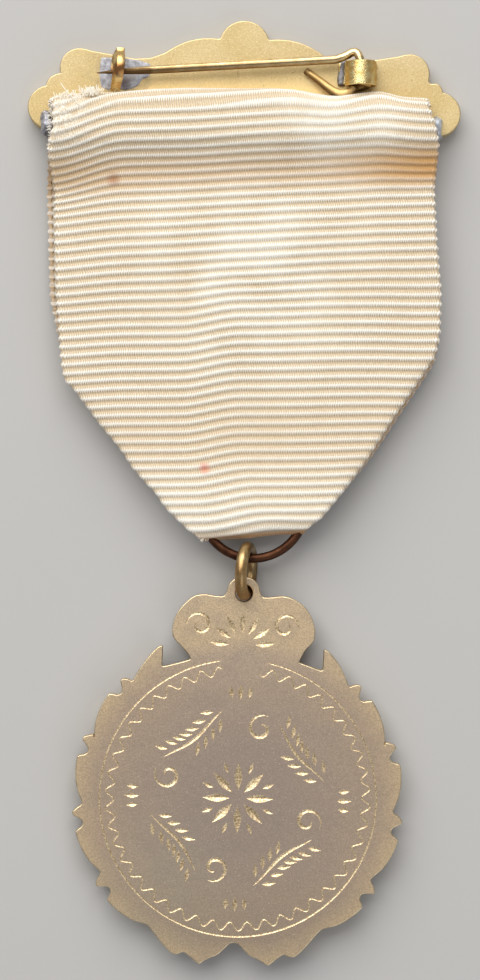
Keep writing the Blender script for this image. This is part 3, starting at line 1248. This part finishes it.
# The ear is thinner than the plate: two cuts across the face mark where it steps in.
ear_foot = {part for face in face_cap for part in (face, *face.edges, *face.verts)}
for y in (18.55, 18.75):
    cut = bmesh.ops.bisect_plane(bm, geom=list(ear_foot), plane_co=(0, y, 0), plane_no=(0, 1, 0))
    ear_foot = set(cut["geom"])
face_cap = only(BMFace, ear_foot)
for corner in bm.verts:
    if corner.co.y > 18.7 and abs(corner.co.x) < 2.0 and corner.co.z < PLATE_FACE + 0.3:
        corner.co.z += 0.4
settled_faces = set(back_cap) | set(cut_faces)
for face in bm.faces:
    if PLATE_BACK - 0.10 < face.calc_center_median().z and face not in settled_faces:
        face.material_index = 1
lie(bm, PEND_AT, PEND_TURN)
finish_piece(bm, "pendant_plate", [dull, edge_gold, cut_gold],
             stands_for=["pendant"], flat=face_cap + back_cap)

# %% [markdown]
# ## The pendant's hidden face
# The jewel lies on its face, so the photograph doesn't show it. It is given a plain laurel
# wreath: domed leaves with a vein, a stem on each side, a knot, a fan on the crown and a thin
# ring round an empty field. One leaf is a small grid, extruded once for its thickness, whose
# outline narrows to both ends and whose top swells between edge and vein.

# %% Leaves, stems and fan
def leaf(bm, root, tip, width, height):
    """One domed leaf from root to tip, which stands out downwards from the plate's face."""
    ax, ay = root
    length = math.hypot(tip[0] - ax, tip[1] - ay)
    angle = math.atan2(tip[1] - ay, tip[0] - ax)
    grid = bmesh.ops.create_grid(bm, x_segments=9, y_segments=6, size=1.0)["verts"]
    faces = list({face for corner in grid for face in corner.link_faces})
    top = only(BMVert, bmesh.ops.extrude_face_region(bm, geom=faces)["geom"])
    for corner in grid + top:
        s, t = (corner.co.x + 1) / 2, corner.co.y
        wide = math.sin(math.pi * s ** 0.85) ** 0.75
        dome = (1 - abs(t) ** 2.2) * (0.25 + 0.75 * math.sin(math.pi * min(s * 0.9 + 0.08, 1)))
        swell = max(dome - 0.28 * (1 - abs(t)) ** 4, 0.0) + 0.18 * wide
        corner.co = (s * length, t * wide * width / 2, -height * swell)
    for corner in grid:
        corner.co.z = 0.12
    bmesh.ops.rotate(bm, verts=grid + top, cent=(0, 0, 0), matrix=Matrix.Rotation(angle, 3, "Z"))
    bmesh.ops.translate(bm, verts=grid + top, vec=(ax, ay, PLATE_FACE))


# In each row: the radius and the angle of the root, the same of the tip, and the width.
leaves = [(12.6, -62 + 25 * k, 10.6, -46 + 25 * k, 2.2) for k in range(5)]
for tip in LEAF_TIPS:
    leaves += [(14.2, tip - 16, 16.0, tip - 0.6, 1.8), (13.8, tip + 1.5, 16.0, tip + 7.4, 1.1)]
leaves += [(13.2, 44, 16.3, 59.5, 1.7), (12.8, -53, 16.1, -67.5, 2.0),
           (12.6, -61, 16.2, -77.5, 2.0)]
FAN_FOOT = (0, 13.2)
bm = bmesh.new()
for root_r, root_angle, tip_r, tip_angle, width in leaves:
    for side in (1, -1):
        (ax, ay), (bx, by) = polar(root_r, root_angle), polar(tip_r, tip_angle)
        leaf(bm, (side * ax, ay), (side * bx, by), width, RELIEF / 1.2)
for angle, length in ((90, 5.6), (62, 5.4), (118, 5.4), (32, 5.0), (148, 5.0)):
    leaf(bm, FAN_FOOT, polar(length, angle, FAN_FOOT), 1.9, RELIEF * 0.66)
stem = [polar(12.7, angle) for angle in range(-84, 56, 4)]
for side in (1, -1):
    draw(bm, [(side * x, y, PLATE_FACE - 0.35) for x, y in stem], [(0.36, 0.5)])
for r, half_width, half_height in ((9.6, 0.3, 0.42), (9.05, 0.12, 0.25)):
    ring = [(*polar(r, a), PLATE_FACE - 0.15) for a in range(0, 360, 5)]
    draw(bm, ring, [(half_width, half_height)], closed=True)
lump(bm, (0, -12.9, PLATE_FACE - 0.2), (1.3, 1.1, 1.35), 0.05)
bmesh.ops.remove_doubles(bm, verts=bm.verts, dist=1e-5)
lie(bm, PEND_AT, PEND_TURN)
finish_piece(bm, "laurel_wreath", [face_gold], sharp=50)

# %% [markdown]
# ## The floor
# A plain pale surface under the jewel, which isn't part of it. The rim of the bar, the leaves
# and the ribbon's soft shadow are what make the jewel sit on it.

# %% Floor
paper = Finish("pale_floor", Roughness=0.85)
paper.ground(paper.grain(60.0), (0.47, 0.46, 0.445), (0.50, 0.49, 0.475))
bm = bmesh.new()
bmesh.ops.create_grid(bm, x_segments=1, y_segments=1, size=1.5)
floor_mesh = bpy.data.meshes.new("floor")
bm.to_mesh(floor_mesh)
bm.free()
floor_mesh.materials.append(paper.material)
floor = bpy.data.objects.new("floor", floor_mesh)
scene.collection.objects.link(floor)
